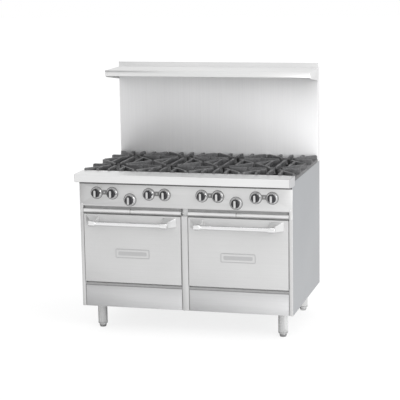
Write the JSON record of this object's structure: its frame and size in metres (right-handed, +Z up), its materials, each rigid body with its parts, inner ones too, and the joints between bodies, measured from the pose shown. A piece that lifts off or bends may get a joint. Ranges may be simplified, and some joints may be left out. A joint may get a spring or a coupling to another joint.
{
  "type": "commercial gas range",
  "caption": "Free-standing gas cooking range with open burners under cast grates, ovens below, drip trays, knobs, a tall backguard and a high plate shelf on legs.",
  "frame": {"origin": "on the floor under the middle of the range, at the middle of its width and depth", "axes": "+Z up, +X to the right of a person facing the doors, +Y to the back; the doors and knobs face -Y"},
  "size_m": [1.204, 0.876, 1.448],
  "materials": {
    "stainless": "brushed stainless sheet, satin",
    "galvanised": "dull coated steel",
    "cast_iron": "matte, sand-cast texture",
    "burner_iron": "dull, heat-stained",
    "enamel": "glossy dark enamel with pale flecks",
    "chrome": "bright, polished",
    "knob_black": "semi-gloss moulded"
  },
  "bodies": {
    "range_body": {"side_panel_left": "stainless", "side_panel_right": "stainless", "rear_panel": "galvanised", "base_frame": "galvanised", "front_frame": "stainless", "valve_panel": "stainless", "front_rail": "stainless", "backguard": "stainless", "high_shelf": "stainless", "burner_box": "galvanised", "heat_shield": "galvanised", "gas_manifold": "galvanised", "burner_casting_1": "burner_iron", "burner_casting_2": "burner_iron", "burner_casting_3": "burner_iron", "burner_casting_4": "burner_iron", "oven_liner_left": "enamel", "oven_rack_left": "chrome", "oven_burner_left": "burner_iron", "oven_liner_right": "enamel", "oven_rack_right": "chrome", "oven_burner_right": "burner_iron", "leg_front_left": "chrome", "leg_front_right": "chrome", "leg_rear_left": "chrome", "leg_rear_right": "chrome"},
    "door_left": {"door_left_shell": "stainless", "door_left_liner": "enamel", "door_left_handle": "chrome"},
    "door_right": {"door_right_shell": "stainless", "door_right_liner": "enamel", "door_right_handle": "chrome"},
    "burner_knob_1": {"burner_knob_1": "knob_black"},
    "burner_knob_2": {"burner_knob_2": "knob_black"},
    "burner_knob_3": {"burner_knob_3": "knob_black"},
    "burner_knob_4": {"burner_knob_4": "knob_black"},
    "burner_knob_5": {"burner_knob_5": "knob_black"},
    "burner_knob_6": {"burner_knob_6": "knob_black"},
    "burner_knob_7": {"burner_knob_7": "knob_black"},
    "burner_knob_8": {"burner_knob_8": "knob_black"},
    "oven_dial_left": {"oven_dial_left": "knob_black"},
    "oven_dial_right": {"oven_dial_right": "knob_black"},
    "drip_tray_1": {"drip_tray_1": "stainless"},
    "drip_tray_2": {"drip_tray_2": "stainless"},
    "drip_tray_3": {"drip_tray_3": "stainless"},
    "drip_tray_4": {"drip_tray_4": "stainless"},
    "grate_front_1": {"grate_front_1": "cast_iron"},
    "grate_front_2": {"grate_front_2": "cast_iron"},
    "grate_front_3": {"grate_front_3": "cast_iron"},
    "grate_front_4": {"grate_front_4": "cast_iron"},
    "grate_rear_1": {"grate_rear_1": "cast_iron"},
    "grate_rear_2": {"grate_rear_2": "cast_iron"},
    "grate_rear_3": {"grate_rear_3": "cast_iron"},
    "grate_rear_4": {"grate_rear_4": "cast_iron"},
    "kick_panel_left": {"kick_panel_left": "stainless"},
    "kick_panel_right": {"kick_panel_right": "stainless"},
    "foot_front_left": {"foot_front_left": "chrome"},
    "foot_front_right": {"foot_front_right": "chrome"},
    "foot_rear_left": {"foot_rear_left": "chrome"},
    "foot_rear_right": {"foot_rear_right": "chrome"}
  },
  "joints": [
    {"name": "door_left_hinge", "type": "hinge", "parent": "range_body", "child": "door_left", "pos_m": [-0.2995, -0.352, 0.299], "axis": [1, 0, 0], "range_deg": [0, 90]},
    {"name": "door_right_hinge", "type": "hinge", "parent": "range_body", "child": "door_right", "pos_m": [0.2995, -0.352, 0.299], "axis": [1, 0, 0], "range_deg": [0, 90]},
    {"name": "burner_knob_1_turn", "type": "hinge", "parent": "range_body", "child": "burner_knob_1", "pos_m": [-0.5, -0.3865, 0.791], "axis": [0, -1, 0], "range_deg": [0, 90]},
    {"name": "burner_knob_2_turn", "type": "hinge", "parent": "range_body", "child": "burner_knob_2", "pos_m": [-0.41, -0.3865, 0.791], "axis": [0, -1, 0], "range_deg": [0, 90]},
    {"name": "burner_knob_3_turn", "type": "hinge", "parent": "range_body", "child": "burner_knob_3", "pos_m": [-0.2, -0.3865, 0.791], "axis": [0, -1, 0], "range_deg": [0, 90]},
    {"name": "burner_knob_4_turn", "type": "hinge", "parent": "range_body", "child": "burner_knob_4", "pos_m": [-0.11, -0.3865, 0.791], "axis": [0, -1, 0], "range_deg": [0, 90]},
    {"name": "burner_knob_5_turn", "type": "hinge", "parent": "range_body", "child": "burner_knob_5", "pos_m": [0.1, -0.3865, 0.791], "axis": [0, -1, 0], "range_deg": [0, 90]},
    {"name": "burner_knob_6_turn", "type": "hinge", "parent": "range_body", "child": "burner_knob_6", "pos_m": [0.19, -0.3865, 0.791], "axis": [0, -1, 0], "range_deg": [0, 90]},
    {"name": "burner_knob_7_turn", "type": "hinge", "parent": "range_body", "child": "burner_knob_7", "pos_m": [0.4, -0.3865, 0.791], "axis": [0, -1, 0], "range_deg": [0, 90]},
    {"name": "burner_knob_8_turn", "type": "hinge", "parent": "range_body", "child": "burner_knob_8", "pos_m": [0.49, -0.3865, 0.791], "axis": [0, -1, 0], "range_deg": [0, 90]},
    {"name": "oven_dial_left_turn", "type": "hinge", "parent": "range_body", "child": "oven_dial_left", "pos_m": [-0.308, -0.3865, 0.757], "axis": [0, -1, 0], "range_deg": [0, 270]},
    {"name": "oven_dial_right_turn", "type": "hinge", "parent": "range_body", "child": "oven_dial_right", "pos_m": [0.291, -0.3865, 0.757], "axis": [0, -1, 0], "range_deg": [0, 270]},
    {"name": "drip_tray_1_slide", "type": "slide", "parent": "range_body", "child": "drip_tray_1", "axis": [0, -1, 0], "range_m": [0, 0.6]},
    {"name": "drip_tray_2_slide", "type": "slide", "parent": "range_body", "child": "drip_tray_2", "axis": [0, -1, 0], "range_m": [0, 0.6]},
    {"name": "drip_tray_3_slide", "type": "slide", "parent": "range_body", "child": "drip_tray_3", "axis": [0, -1, 0], "range_m": [0, 0.6]},
    {"name": "drip_tray_4_slide", "type": "slide", "parent": "range_body", "child": "drip_tray_4", "axis": [0, -1, 0], "range_m": [0, 0.6]},
    {"name": "grate_front_1_lift", "type": "slide", "parent": "range_body", "child": "grate_front_1", "axis": [0, 0, 1], "range_m": [0, 0.1]},
    {"name": "grate_front_2_lift", "type": "slide", "parent": "range_body", "child": "grate_front_2", "axis": [0, 0, 1], "range_m": [0, 0.1]},
    {"name": "grate_front_3_lift", "type": "slide", "parent": "range_body", "child": "grate_front_3", "axis": [0, 0, 1], "range_m": [0, 0.1]},
    {"name": "grate_front_4_lift", "type": "slide", "parent": "range_body", "child": "grate_front_4", "axis": [0, 0, 1], "range_m": [0, 0.1]},
    {"name": "grate_rear_1_lift", "type": "slide", "parent": "range_body", "child": "grate_rear_1", "axis": [0, 0, 1], "range_m": [0, 0.1]},
    {"name": "grate_rear_2_lift", "type": "slide", "parent": "range_body", "child": "grate_rear_2", "axis": [0, 0, 1], "range_m": [0, 0.1]},
    {"name": "grate_rear_3_lift", "type": "slide", "parent": "range_body", "child": "grate_rear_3", "axis": [0, 0, 1], "range_m": [0, 0.1]},
    {"name": "grate_rear_4_lift", "type": "slide", "parent": "range_body", "child": "grate_rear_4", "axis": [0, 0, 1], "range_m": [0, 0.1]},
    {"name": "kick_panel_left_pull", "type": "slide", "parent": "range_body", "child": "kick_panel_left", "axis": [0, -1, 0], "range_m": [0, 0.12]},
    {"name": "kick_panel_right_pull", "type": "slide", "parent": "range_body", "child": "kick_panel_right", "axis": [0, -1, 0], "range_m": [0, 0.12]},
    {"name": "foot_front_left_turn", "type": "hinge", "parent": "range_body", "child": "foot_front_left", "pos_m": [-0.522, -0.252, 0.01], "axis": [0, 0, 1], "range_deg": [0, 360]},
    {"name": "foot_front_right_turn", "type": "hinge", "parent": "range_body", "child": "foot_front_right", "pos_m": [0.522, -0.252, 0.01], "axis": [0, 0, 1], "range_deg": [0, 360]},
    {"name": "foot_rear_left_turn", "type": "hinge", "parent": "range_body", "child": "foot_rear_left", "pos_m": [-0.522, 0.327, 0.01], "axis": [0, 0, 1], "range_deg": [0, 360]},
    {"name": "foot_rear_right_turn", "type": "hinge", "parent": "range_body", "child": "foot_rear_right", "pos_m": [0.522, 0.327, 0.01], "axis": [0, 0, 1], "range_deg": [0, 360]}
  ]
}
